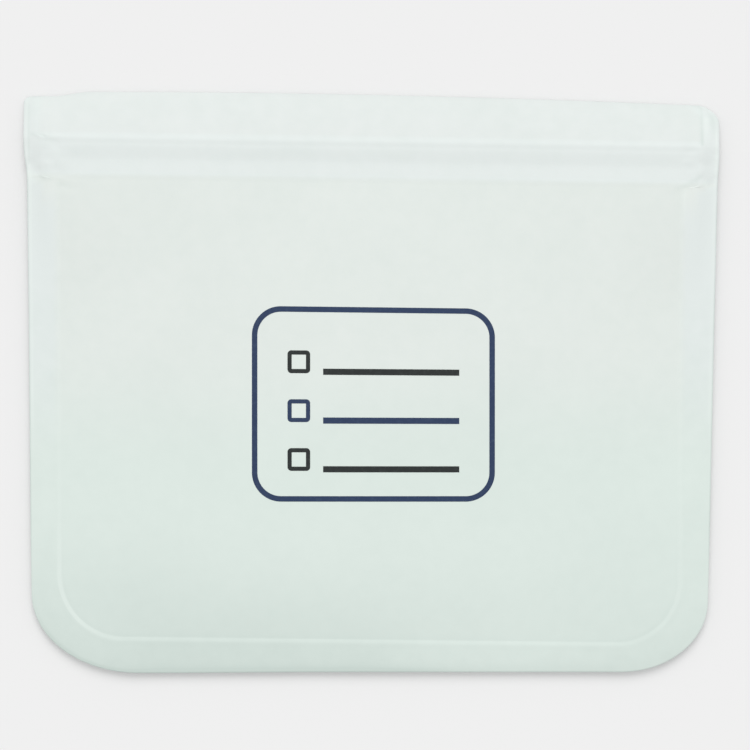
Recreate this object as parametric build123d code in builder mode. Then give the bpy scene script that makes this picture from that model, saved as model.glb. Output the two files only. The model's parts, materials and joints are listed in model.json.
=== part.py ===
"""Reusable flat food bag with a double-track press-to-close zip. All sizes are in millimetres.

The bag lies on its back: +X runs along the mouth, +Y towards the mouth and +Z up out of the front film.
The origin is the middle of the footprint, on the surface that the bag lies on.
"""

import os

from build123d import *

os.makedirs("parts", exist_ok=True)

# Outline
mouth_width = 216.0  # across the lips and the zip
body_width = 213.6  # across the welded body just below the zip
bag_height = 180.0
taper_left = 1.3  # how far each side leans in from below the zip to the bottom edge
taper_right = 2.8
bottom_left_radius = 29.6
bottom_right_radius = 24.6
top_left_radius = 2.4
top_right_radius = 6.0
flare_run = 10.0  # length over which the body widens to the mouth

# Film and welds
film = 0.5  # one film
rim_lift = 2.0  # the welds stand off the surface, because the pouch bulges on both sides
floor_inset = 30.0  # from the cavity's outline to the flat that the back film lies on
floor_corner_radius = 12.0
weld_thickness = 0.9  # both films fused
weld_band_left = 10.8  # each band is measured to the inner side of its bead
weld_band_right = 11.9
weld_band_bottom = 10.3
cavity_corner_radius = 19.3
bead_width = 1.6
bead_rise = 0.4
bead_rounding = 0.35
lip_weld_left = 4.7
lip_weld_right = 6.2

# Clearances
moving_gap = 0.3  # between the back half and what swings away from it
film_gap = 0.15  # between the two films where the front one leaves the weld
closing_gap = 0.15  # between the zip tapes when the zip is pressed shut
snap_gap = 0.06  # each side of a rib head in the open mouth of its channel

# Zip
lip_height = 15.9  # from the zip to the top edge
tape_width = 11.5
tape_thickness = 0.4
upper_track_inset = 1.9  # from the tape's upper edge to the middle of the upper track
track_pitch = 6.7
channel_height = 1.5
channel_wall = 0.5
channel_hook = 0.45
channel_side_room = 0.3  # beside a rib head inside its channel
rib_head_width = 1.3
rib_stem_width = 0.7
rib_tip_width = 0.5
rib_head_flank = 0.25  # upright side of a rib head, above its taper
rib_floor_gap = 0.2
hook_gap = 0.1  # between a rib head and the hooks that hold it
zip_end_inset = 7.3  # from the edge of the mouth to the end of the tapes

# Front film
pillow_rise = 5.0  # how far the middle of the control net stands above the weld
net_points = 5  # control points each way
land_thickness = 0.6
land_overlap = 1.2  # how far the domed film runs into the land
upper_ridge_width = 1.4
upper_ridge_height = 0.25
lower_ridge_width = 3.2
lower_ridge_height = 0.5

# Front lip, from the zip to the top edge
lip_dip_share = 0.38  # places of the wave along the lip
lip_swell_share = 0.62
lip_dip_drop = 1.3  # how far the wave lies below the hinge
lip_swell_drop = 1.1
lip_trim = 0.5  # the wave runs on this far, and the lip is cut square at the top edge

# Side seals
crush_width = 5.2  # from the end of the tapes to the step at the outer edge
crush_height_inner = 2.7
crush_height_outer = 1.5
crush_radius = 15.6  # of the hollow between those two heights
seal_margin = 1.0  # how far a side seal reaches below the tapes

# Worked out from the above
top_edge = bag_height / 2
bottom_edge = -bag_height / 2
zip_top = top_edge - lip_height
zip_bottom = zip_top - tape_width
seal_bottom = zip_bottom - seal_margin
zip_end = mouth_width / 2 - zip_end_inset
track_centres = [zip_top - upper_track_inset, zip_top - upper_track_inset - track_pitch]
cavity_left = -body_width / 2 + weld_band_left
cavity_right = body_width / 2 - weld_band_right
cavity_bottom = bottom_edge + weld_band_bottom
lip_left = -mouth_width / 2 + lip_weld_left + moving_gap
lip_right = mouth_width / 2 - lip_weld_right - moving_gap
bead_top = weld_thickness + bead_rise
strip_top = rim_lift + film
groove_floor = strip_top + tape_thickness
channel_top = groove_floor + channel_height
rib_root = channel_top + closing_gap
land_bottom = rib_root + tape_thickness
land_top = land_bottom + land_thickness
lip_hinge_y = zip_top + moving_gap + film / 2
lip_hinge_z = land_bottom + film / 2
mouth_hinge_y = cavity_bottom + moving_gap
mouth_hinge_z = (groove_floor + rib_root) / 2
moving_end = zip_end - moving_gap
film_ceiling = land_top + pillow_rise + film  # higher than any part of the front film
beyond_x = mouth_width  # past the sides and the top edge, for shapes that cut or are cut there
beyond_y = bag_height


def rectangle_between(x_low, x_high, y_low, y_high, mode=Mode.ADD):
    """A rectangle of the current sketch, from its lowest to its highest corner."""
    with Locations(((x_low + x_high) / 2, (y_low + y_high) / 2)):
        Rectangle(x_high - x_low, y_high - y_low, mode=mode)


# Footprints that tile the bag: the weld, the two side seals, and the back film between them
with BuildSketch() as bag_outline:
    with BuildLine():
        Polyline(
            (-mouth_width / 2, top_edge),
            (mouth_width / 2, top_edge),
            (mouth_width / 2, seal_bottom + flare_run),
            (body_width / 2, seal_bottom),
            (body_width / 2 - taper_right, bottom_edge),
            (-body_width / 2 + taper_left, bottom_edge),
            (-body_width / 2, seal_bottom),
            (-mouth_width / 2, seal_bottom + flare_run),
            close=True,
        )
    make_face()
    for row, end, radius in (
        (0, 0, bottom_left_radius),
        (0, -1, bottom_right_radius),
        (-1, 0, top_left_radius),
        (-1, -1, top_right_radius),
    ):
        fillet(bag_outline.vertices().group_by(Axis.Y)[row].sort_by(Axis.X)[end], radius)

with BuildSketch() as cavity_outline:
    rectangle_between(cavity_left, cavity_right, cavity_bottom, seal_bottom)
    fillet(cavity_outline.vertices().group_by(Axis.Y)[0], cavity_corner_radius)

with BuildSketch() as weld_outline:
    add(bag_outline.sketch)
    add(cavity_outline.sketch, mode=Mode.SUBTRACT)
    rectangle_between(-beyond_x, beyond_x, seal_bottom, beyond_y, mode=Mode.SUBTRACT)

with BuildSketch() as bead_outline:
    with BuildSketch(mode=Mode.PRIVATE) as bead_outer:
        add(cavity_outline.sketch)
        offset(amount=bead_width, kind=Kind.ARC)
    add(bead_outer.sketch)
    add(cavity_outline.sketch, mode=Mode.SUBTRACT)
    rectangle_between(-beyond_x, beyond_x, seal_bottom, beyond_y, mode=Mode.SUBTRACT)

with BuildSketch() as left_seal_outline:
    rectangle_between(-beyond_x, -zip_end, seal_bottom, zip_top)
    rectangle_between(-beyond_x, -mouth_width / 2 + lip_weld_left, seal_bottom, beyond_y)
    add(bag_outline.sketch, mode=Mode.INTERSECT)

with BuildSketch() as right_seal_outline:
    rectangle_between(zip_end, beyond_x, seal_bottom, zip_top)
    rectangle_between(mouth_width / 2 - lip_weld_right, beyond_x, seal_bottom, beyond_y)
    add(bag_outline.sketch, mode=Mode.INTERSECT)

with BuildSketch() as back_outline:
    add(bag_outline.sketch)
    add(weld_outline.sketch, mode=Mode.SUBTRACT)
    add(left_seal_outline.sketch, mode=Mode.SUBTRACT)
    add(right_seal_outline.sketch, mode=Mode.SUBTRACT)

with BuildSketch() as floor_outline:
    rectangle_between(
        cavity_left + floor_inset,
        cavity_right - floor_inset,
        cavity_bottom + floor_inset,
        seal_bottom - floor_inset,
    )
    fillet(floor_outline.vertices().group_by(Axis.Y)[0], floor_corner_radius)


def basin(height):
    """The bulge of the back film, as a solid whose flat lies at a height, from the flat up to the welds."""
    flat = Plane.XY.offset(height) * floor_outline.sketch
    rim = Plane.XY.offset(height + rim_lift) * cavity_outline.sketch
    return loft([flat, rim], ruled=True)


# Back film: a shallow basin below the zip, and a flat strip from there to the top edge
with BuildPart() as back_panel:
    add(basin(0))
    with BuildSketch(Plane.XY.offset(rim_lift)):
        add(cavity_outline.sketch)
    extrude(amount=film)
    add(basin(film), mode=Mode.SUBTRACT)
    with BuildSketch(Plane.XY.offset(rim_lift)):
        add(back_outline.sketch)
        rectangle_between(-beyond_x, beyond_x, bottom_edge, seal_bottom, mode=Mode.SUBTRACT)
    extrude(amount=film)

# The U-shaped weld, with the bead that the sealing die raises along its inner side
with BuildPart() as perimeter_weld:
    with BuildSketch(Plane.XY.offset(rim_lift)):
        add(weld_outline.sketch)
    extrude(amount=weld_thickness)
    with BuildSketch(Plane.XY.offset(rim_lift)):
        add(bead_outline.sketch)
    extrude(amount=bead_top)
    bead_edges = perimeter_weld.faces().sort_by(Axis.Z)[-1].edges()
    fillet(bead_edges.filter_by(lambda edge: edge.center().Y < seal_bottom - bead_width), bead_rounding)


# Side seals: the lips' side weld and, below it, the crushed and fused end of the zip
def crushed_end():
    """Section of a crushed zip end, from the end of the tapes outwards, in the current sketch."""
    with BuildLine() as section:
        Polyline(
            (zip_end + crush_width, rim_lift + crush_height_outer),
            (zip_end + crush_width, rim_lift),
            (zip_end, rim_lift),
            (zip_end, rim_lift + crush_height_inner),
        )
        RadiusArc(
            (zip_end, rim_lift + crush_height_inner),
            (zip_end + crush_width, rim_lift + crush_height_outer),
            crush_radius,
        )
    make_face(section.edges())


with BuildPart() as left_side_seal:
    with BuildSketch(Plane.XY.offset(rim_lift)):
        add(left_seal_outline.sketch)
    extrude(amount=weld_thickness)
    with BuildSketch(Plane.XZ.offset(-seal_bottom)):
        crushed_end()
        mirror(about=Plane.YZ, mode=Mode.REPLACE)
    extrude(amount=-(zip_top - seal_bottom))

with BuildPart() as right_side_seal:
    with BuildSketch(Plane.XY.offset(rim_lift)):
        add(right_seal_outline.sketch)
    extrude(amount=weld_thickness)
    with BuildSketch(Plane.XZ.offset(-seal_bottom)):
        crushed_end()
    extrude(amount=-(zip_top - seal_bottom))

# Groove strip: a tape with two channels, whose hooks point inwards over the rib heads
channel_room = rib_head_width + 2 * channel_side_room
channel_width = channel_room + 2 * channel_wall
mouth_gap = rib_head_width + 2 * snap_gap
with BuildPart() as zip_groove_strip:
    with BuildSketch(Plane.YZ.offset(-zip_end)):
        rectangle_between(zip_bottom, zip_top, strip_top, groove_floor)
        for centre in track_centres:
            rectangle_between(
                centre - channel_width / 2, centre + channel_width / 2, groove_floor, channel_top
            )
        for centre in track_centres:
            for width, height in (
                (channel_room, channel_height - channel_hook),
                (mouth_gap, channel_height),
            ):
                with Locations((centre, groove_floor)):
                    Rectangle(width, height, align=(Align.CENTER, Align.MIN), mode=Mode.SUBTRACT)
    extrude(amount=2 * zip_end)

# Rib strip: a tape with two arrow-headed ribs that press into the channels
rib_tip = groove_floor + rib_floor_gap
rib_shoulder = channel_top - channel_hook - hook_gap
rib_taper_top = rib_shoulder - rib_head_flank
with BuildPart() as zip_rib_strip:
    with BuildSketch(Plane.YZ.offset(-moving_end)):
        rectangle_between(zip_bottom, zip_top, rib_root, land_bottom)
        for centre in track_centres:
            with BuildLine():
                Polyline(
                    (centre - rib_stem_width / 2, rib_root),
                    (centre - rib_stem_width / 2, rib_shoulder),
                    (centre - rib_head_width / 2, rib_shoulder),
                    (centre - rib_head_width / 2, rib_taper_top),
                    (centre - rib_tip_width / 2, rib_tip),
                    (centre + rib_tip_width / 2, rib_tip),
                    (centre + rib_head_width / 2, rib_taper_top),
                    (centre + rib_head_width / 2, rib_shoulder),
                    (centre + rib_stem_width / 2, rib_shoulder),
                    (centre + rib_stem_width / 2, rib_root),
                    close=True,
                )
            make_face()
    extrude(amount=2 * moving_end)


# Front film: a shallow pillow that rises from the welds and comes down to the zip
def pillow_height(column, row):
    """Height of one control point of the pillow's underside."""
    if row == net_points - 1:
        return land_bottom + (land_thickness - film) / 2
    edge = strip_top + film_gap
    if row == 0 or column in (0, net_points - 1):
        return edge
    return edge + pillow_rise


front_left = cavity_left + moving_gap
front_right = cavity_right - moving_gap
front_bottom = cavity_bottom + moving_gap
front_top = zip_bottom + land_overlap
pillow_net = [
    [
        (
            front_left + (front_right - front_left) * column / (net_points - 1),
            front_bottom + (front_top - front_bottom) * row / (net_points - 1),
            pillow_height(column, row),
        )
        for column in range(net_points)
    ]
    for row in range(net_points)
]
pillow_film = extrude(Face.make_bezier_surface(pillow_net), amount=film, dir=(0, 0, 1))

with BuildPart() as front_panel:
    with BuildSketch() as front_outline:
        rectangle_between(front_left, front_right, front_bottom, front_top)
        fillet(front_outline.vertices().group_by(Axis.Y)[0], cavity_corner_radius - moving_gap)
    extrude(amount=film_ceiling)
    add(pillow_film, mode=Mode.INTERSECT)
    with BuildSketch(Plane.YZ.offset(-moving_end)):
        rectangle_between(zip_bottom, zip_top, 0, land_bottom)
    extrude(amount=2 * moving_end, mode=Mode.SUBTRACT)
    with BuildSketch(Plane.YZ.offset(-moving_end)):
        rectangle_between(zip_bottom, zip_top, land_bottom, land_top)
        for centre, width, height in (
            (track_centres[0], upper_ridge_width, upper_ridge_height),
            (track_centres[1], lower_ridge_width, lower_ridge_height),
        ):
            with BuildLine():
                ThreePointArc(
                    (centre - width / 2, land_top),
                    (centre, land_top + height),
                    (centre + width / 2, land_top),
                )
                Line((centre + width / 2, land_top), (centre - width / 2, land_top))
            make_face()
    extrude(amount=2 * moving_end)

# Front lip: one film in a gentle wave, with a rounded root on the line that it folds about
lip_run = top_edge - lip_hinge_y
with BuildPart() as front_lip:
    with BuildSketch(Plane.YZ.offset(lip_left)):
        with BuildLine() as lip_line:
            Spline(
                (lip_hinge_y, lip_hinge_z),
                (lip_hinge_y + lip_dip_share * lip_run, lip_hinge_z - lip_dip_drop),
                (lip_hinge_y + lip_swell_share * lip_run, lip_hinge_z - lip_swell_drop),
                (top_edge + lip_trim, strip_top + moving_gap + film / 2),
            )
        trace(line_width=film)
        rectangle_between(top_edge, beyond_y, 0, land_top, mode=Mode.SUBTRACT)
        with Locations((lip_hinge_y, lip_hinge_z)):
            Circle(film / 2)
    extrude(amount=lip_right - lip_left)

pieces = {
    "back_panel": back_panel,
    "perimeter_weld": perimeter_weld,
    "left_side_seal": left_side_seal,
    "right_side_seal": right_side_seal,
    "zip_groove_strip": zip_groove_strip,
    "zip_rib_strip": zip_rib_strip,
    "front_panel": front_panel,
    "front_lip": front_lip,
}
for node, piece in pieces.items():
    piece.part.label = node
    export_step(piece.part, f"parts/{node}.step")
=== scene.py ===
"""Looks of the reusable food bag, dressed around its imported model.

The films, welds and zip strips are surfaces over the bag's plan. The plan works in millimetres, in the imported
model's frame: +X along the mouth, +Y towards the mouth and +Z up out of the front film. Meshes are in metres.
"""

import json
import logging
import math
from dataclasses import dataclass
from enum import Enum
from typing import Callable, Sequence

import bmesh
import bpy
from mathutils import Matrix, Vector, noise


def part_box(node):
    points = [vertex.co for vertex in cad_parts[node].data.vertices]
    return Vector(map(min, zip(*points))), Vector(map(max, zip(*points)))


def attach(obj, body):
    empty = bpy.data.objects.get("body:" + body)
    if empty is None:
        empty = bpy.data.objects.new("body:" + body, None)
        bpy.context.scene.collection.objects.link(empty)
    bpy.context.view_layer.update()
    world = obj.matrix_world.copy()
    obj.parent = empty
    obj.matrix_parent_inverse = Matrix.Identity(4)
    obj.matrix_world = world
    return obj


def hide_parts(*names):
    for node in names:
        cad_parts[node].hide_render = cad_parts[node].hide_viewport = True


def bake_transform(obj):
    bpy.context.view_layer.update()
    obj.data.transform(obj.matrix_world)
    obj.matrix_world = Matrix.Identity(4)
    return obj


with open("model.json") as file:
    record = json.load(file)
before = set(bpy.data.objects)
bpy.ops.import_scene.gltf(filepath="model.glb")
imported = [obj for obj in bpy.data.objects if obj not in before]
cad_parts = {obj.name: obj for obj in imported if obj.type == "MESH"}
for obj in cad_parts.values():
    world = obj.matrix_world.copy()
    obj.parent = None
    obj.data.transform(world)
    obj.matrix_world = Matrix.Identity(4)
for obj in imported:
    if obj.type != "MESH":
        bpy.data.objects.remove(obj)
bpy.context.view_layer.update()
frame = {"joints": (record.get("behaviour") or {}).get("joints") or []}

MM = 0.001
TINY = 1e-6
LOG = logging.getLogger("food_bag")

Curve = Callable[[float], float]
Place = Callable[[float, float], tuple[float, float]]
Height = Callable[[float, float], float]
Stops = tuple[tuple[float, int], ...]
Outline = list[tuple[float, float]]


class Side(Enum):
    """One side of the bag, as the sign of its X."""

    LEFT = -1
    RIGHT = 1

    @property
    def word(self) -> str:
        """The side as a word for the names of pieces."""
        return self.name.lower()

    @classmethod
    def of(cls, x: float) -> "Side":
        """The side on which a place lies."""
        return cls.LEFT if x < 0 else cls.RIGHT


def clamped(share: float) -> float:
    """A share held between 0 and 1."""
    return min(1.0, max(0.0, share))


def smooth(share: float) -> float:
    """Smooth step of a share, held to 0 below 0 and to 1 above 1."""
    share = clamped(share)
    return share * share * (3.0 - 2.0 * share)


def lerp(low: float, high: float, share: float) -> float:
    """The value a share of the way from low to high."""
    return low + (high - low) * share


def swelling(share: float, power: int = 4) -> float:
    """A full rise from 0 at both ends of a stretch to 1 in its middle, squarer with a higher power."""
    return (1.0 - share**power - (1.0 - share) ** power) / (1.0 - 2 * 0.5**power)


def steps(*stops: tuple[float, int]) -> list[float]:
    """Values that step evenly between stops.

    Args:
        stops: pairs of a value and the number of steps that lead to it from the stop before.

    Returns:
        The values, from the first stop to the last.
    """
    values = [stops[0][0]]
    for (start, _), (end, count) in zip(stops, stops[1:]):
        values += [lerp(start, end, step / count) for step in range(1, count + 1)]
    return values


def node_box(node: str) -> tuple[Vector, Vector]:
    """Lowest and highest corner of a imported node, in millimetres."""
    low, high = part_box(node)
    return Vector(low) / MM, Vector(high) / MM


def joint_place(name: str) -> Vector:
    """A point on a packed joint's axis, in millimetres."""
    joint = next(joint for joint in frame["joints"] if joint["name"] == name)
    return Vector(joint["pos_m"]) / MM


# Curves over one measure of a place


@dataclass(frozen=True)
class Ramp:
    """A smooth rise from 0 at its start to 1 at its end, which may be the lower value of the two."""

    start: float
    end: float

    def __call__(self, value: float) -> float:
        """How far up the rise a value is."""
        return smooth((value - self.start) / (self.end - self.start))


@dataclass(frozen=True)
class Hump:
    """A rounded bump, 1 high in its middle and about a third as high at its half width."""

    middle: float
    width: float

    def __call__(self, value: float) -> float:
        """Its height at a value."""
        return math.exp(-(((value - self.middle) / self.width) ** 2))


@dataclass(frozen=True)
class Both:
    """The product of two curves, such as the rise and the fall at the ends of a stretch."""

    first: Curve
    second: Curve

    def __call__(self, value: float) -> float:
        """Their product at a value."""
        return self.first(value) * self.second(value)


def plain(share: float) -> float:
    """A share that counts as it is."""
    return share


def rest(share: float) -> float:
    """What is left of a share."""
    return 1.0 - share


def always(_: float) -> float:
    """A measure that makes no difference."""
    return 1.0


# Outlines


@dataclass(frozen=True)
class Flank:
    """One side of the bag's outline, in millimetres.

    Band is the width of the fused weld. The bottom corner is as wide as its radius, and its height is squash
    times that. The side leans in by its taper and stands out by its swell. A higher top power makes a squarer
    top corner.
    """

    band: float
    radius: float
    squash: float
    taper: float
    swell: float
    top_radius: float
    top_power: float


@dataclass
class Plan:
    """Outlines of the bag seen from the front, and how it lies a little askew, in millimetres."""

    left: Flank = Flank(
        band=10.8, radius=33.0, squash=0.745, taper=0.0095, swell=-0.14, top_radius=2.4, top_power=2.0
    )
    right: Flank = Flank(
        band=11.9, radius=26.8, squash=0.82, taper=0.0215, swell=0.4, top_radius=6.2, top_power=1.65
    )
    band_bottom: float = 10.4
    cavity_radius: float = 19.3
    mouth_trim: float = 0.2
    waist: float = 0.1
    waist_stretch: Hump = Hump(-65.0, 11.0)
    bottom_inset: float = 0.2
    flare_run: float = 12.0
    flare_lead: float = 0.05
    seam_step: float = 1.5
    arm_share: float = 0.27
    corner_share: float = 0.35
    grip_half: float = 44.0
    skew: float = 0.015
    skew_rise: Ramp = Ramp(-40.0, 50.0)
    low_skew: float = 0.0113
    low_skew_rise: Ramp = Ramp(-35.0, -70.0)
    skewed_inside: Ramp = Ramp(0.0, 9.0)
    bottom_drop: float = 0.3
    bottom_drop_left: Ramp = Ramp(-10.0, -70.0)
    bottom_drop_low: Ramp = Ramp(-60.0, -80.0)
    lip_skew: float = 0.006
    lip_pull: float = 0.82
    lip_bow: float = 0.95
    lip_bow_half: float = 90.0
    lip_end_drop: float = 1.35
    lip_end: Ramp = Ramp(-87.0, -99.0)

    def __post_init__(self) -> None:
        """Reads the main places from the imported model."""
        weld_low, weld_high = node_box("perimeter_weld")
        strip_low, strip_high = node_box("zip_groove_strip")
        seal_high = node_box("right_side_seal")[1]
        lip_low, lip_high = node_box("front_lip")
        self.hinge = joint_place("lip_peel")
        self.body_half = weld_high.x
        self.mouth_half = seal_high.x - self.mouth_trim
        self.bottom = weld_low.y + self.bottom_inset
        self.top = seal_high.y
        self.seal_bottom = weld_high.y
        self.zip_bottom = strip_low.y
        self.zip_top = strip_high.y
        self.zip_end = strip_high.x
        self.lip_run = self.top - self.hinge.y
        self.lip_ends = {Side.LEFT: -lip_low.x, Side.RIGHT: lip_high.x}
        self.flanks = {Side.LEFT: self.left, Side.RIGHT: self.right}
        self.cavity = {side: self.body_half - flank.band for side, flank in self.flanks.items()}
        self.cavity_bottom = weld_low.y + self.band_bottom
        self.cavity_level = self.cavity_bottom + self.cavity_radius

    def outer_edge(self, side: Side, y: float) -> float:
        """How far from the middle the bag's cut edge stands, above its bottom corners.

        Args:
            side: the side of the bag.
            y: place towards the mouth.

        Returns:
            The half width to the cut edge.
        """
        flank = self.flanks[side]
        flare = smooth((y - self.seal_bottom) / self.flare_run + self.flare_lead)
        half = lerp(self.body_half + flank.swell, self.mouth_half, flare)
        half -= flank.taper * max(0.0, self.seal_bottom - y)
        half -= self.waist * self.waist_stretch(y)
        up = clamped((y - self.top) / flank.top_radius + 1.0)
        return half - flank.top_radius * (1.0 - (1.0 - up**flank.top_power) ** (1.0 / flank.top_power))

    def inner_edge(self, side: Side, y: float, tuck: float = 0.0) -> float:
        """How far from the middle the free film ends.

        Args:
            side: the side of the bag.
            y: place towards the mouth.
            tuck: how far the film runs on under the weld.

        Returns:
            The half width to the bead, to the zip's end or to the lips' weld.
        """
        half = self.cavity[side] + tuck
        below = self.cavity_level - y
        if below > 0:
            radius = self.cavity_radius + tuck
            half -= radius - math.sqrt(max(0.0, radius**2 - below**2))
        half += (self.zip_end - self.cavity[side]) * smooth((y - self.seal_bottom) / self.seam_step + 0.5)
        half += (self.lip_ends[side] - self.zip_end) * smooth((y - self.zip_top) / self.seam_step)
        return half

    def corner(self, side: Side, inner: bool) -> tuple[float, float, float, float]:
        """A bottom corner of the cavity's outline or of the cut edge.

        Args:
            side: the side of the bag.
            inner: whether it is the cavity's.

        Returns:
            The half width and the Y of its centre, its radius, and its height as a share of the radius.
        """
        if inner:
            return self.cavity[side] - self.cavity_radius, self.cavity_level, self.cavity_radius, 1.0
        flank = self.flanks[side]
        level = self.bottom + flank.radius * flank.squash
        return self.outer_edge(side, level) - flank.radius, level, flank.radius, flank.squash

    def rim_place(self, share: float, inner: bool) -> Vector:
        """A place on the inner or outer outline of the U-shaped weld.

        Args:
            share: how far round, from 0 at the left end under the zip to 1 at the right end.
            inner: whether the place is on the cavity's outline.

        Returns:
            Its X and Y.
        """
        side = Side.LEFT if share < 0.5 else Side.RIGHT
        centre, level, radius, squash = self.corner(side, inner)
        from_end = min(share, 1.0 - share)
        if from_end <= self.arm_share:
            y = lerp(self.seal_bottom, level, from_end / self.arm_share)
            half = self.cavity[side] if inner else self.outer_edge(side, y)
            return Vector((side.value * half, y))
        if from_end <= self.corner_share:
            turn = (from_end - self.arm_share) / (self.corner_share - self.arm_share) * math.pi / 2
            half = centre + radius * math.cos(turn)
            return Vector((side.value * half, level - radius * squash * math.sin(turn)))
        ends = [lone.value * self.corner(lone, inner)[0] for lone in Side]
        along = (share - self.corner_share) / (1.0 - 2 * self.corner_share)
        return Vector((lerp(ends[0], ends[1], along), self.cavity_bottom if inner else self.bottom))

    def past_outline(self, x: float, y: float, inner: bool) -> float:
        """How far a place lies outside an outline.

        Args:
            x: place along the mouth.
            y: place towards the mouth.
            inner: whether the outline is the cavity's and not the cut edge.

        Returns:
            The distance, below 0 inside the outline.
        """
        side = Side.of(x)
        centre, level, radius, squash = self.corner(side, inner)
        if y < level and abs(x) > centre:
            return math.hypot(abs(x) - centre, (level - y) / squash) - radius
        if inner:
            return max(abs(x) - self.inner_edge(side, max(y, level)), self.cavity_bottom - y)
        return max(abs(x) - self.outer_edge(side, y), self.bottom - y)

    def laid(self, x: float, y: float, z: float) -> Vector:
        """Where a place of the plan comes to lie, with the mouth and the bottom seam a little askew.

        Args:
            x: place along the mouth.
            y: place towards the mouth.
            z: height.

        Returns:
            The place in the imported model's frame, in metres.
        """
        within = self.skewed_inside(-self.past_outline(x, y, inner=False))
        lip = clamped((y - self.hinge.y) / self.lip_run)
        up = -self.skew * x * self.skew_rise(y)
        up -= self.low_skew * x * within * self.low_skew_rise(y)
        up -= self.bottom_drop * (1.0 - within) * self.bottom_drop_left(x) * self.bottom_drop_low(y)
        up -= lip * (self.lip_skew * x + self.lip_pull + self.lip_bow * (x / self.lip_bow_half) ** 2)
        up -= self.lip_end_drop * lip * self.lip_end(x)
        return Vector((x, y + up, z)) * MM


# Heights and tones


@dataclass(frozen=True)
class Waves:
    """Smooth uneven waves about 0 over the plan, of one height and size in millimetres."""

    height: float
    size: float
    seed: float

    def at(self, x: float, y: float) -> float:
        """Their height at a place."""
        return self.height * noise.noise(Vector((x / self.size, y / self.size, self.seed)))


@dataclass(frozen=True)
class Mark:
    """A short pucker or melt line in the plastic, from its strongest end to its weakest, in millimetres.

    Its rise is a real height, and its other two amounts are the painted shade and painted highlight that it
    adds to the tones along the line.
    """

    start: tuple[float, float]
    end: tuple[float, float]
    width: float
    rise: float = 0.0
    dense: float = 0.0
    pale: float = 0.0
    fading: float = 0.7

    def near(self, x: float, y: float) -> float:
        """How strong it is at a place.

        Args:
            x: place along the mouth.
            y: place towards the mouth.

        Returns:
            1 at its start, less along it and fading out to its sides.
        """
        line = Vector((self.end[0] - self.start[0], self.end[1] - self.start[1]))
        place = Vector((x - self.start[0], y - self.start[1]))
        share = clamped(place.dot(line) / line.length_squared)
        return Hump(0.0, self.width)((place - line * share).length) * (1.0 - self.fading * share)


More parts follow.
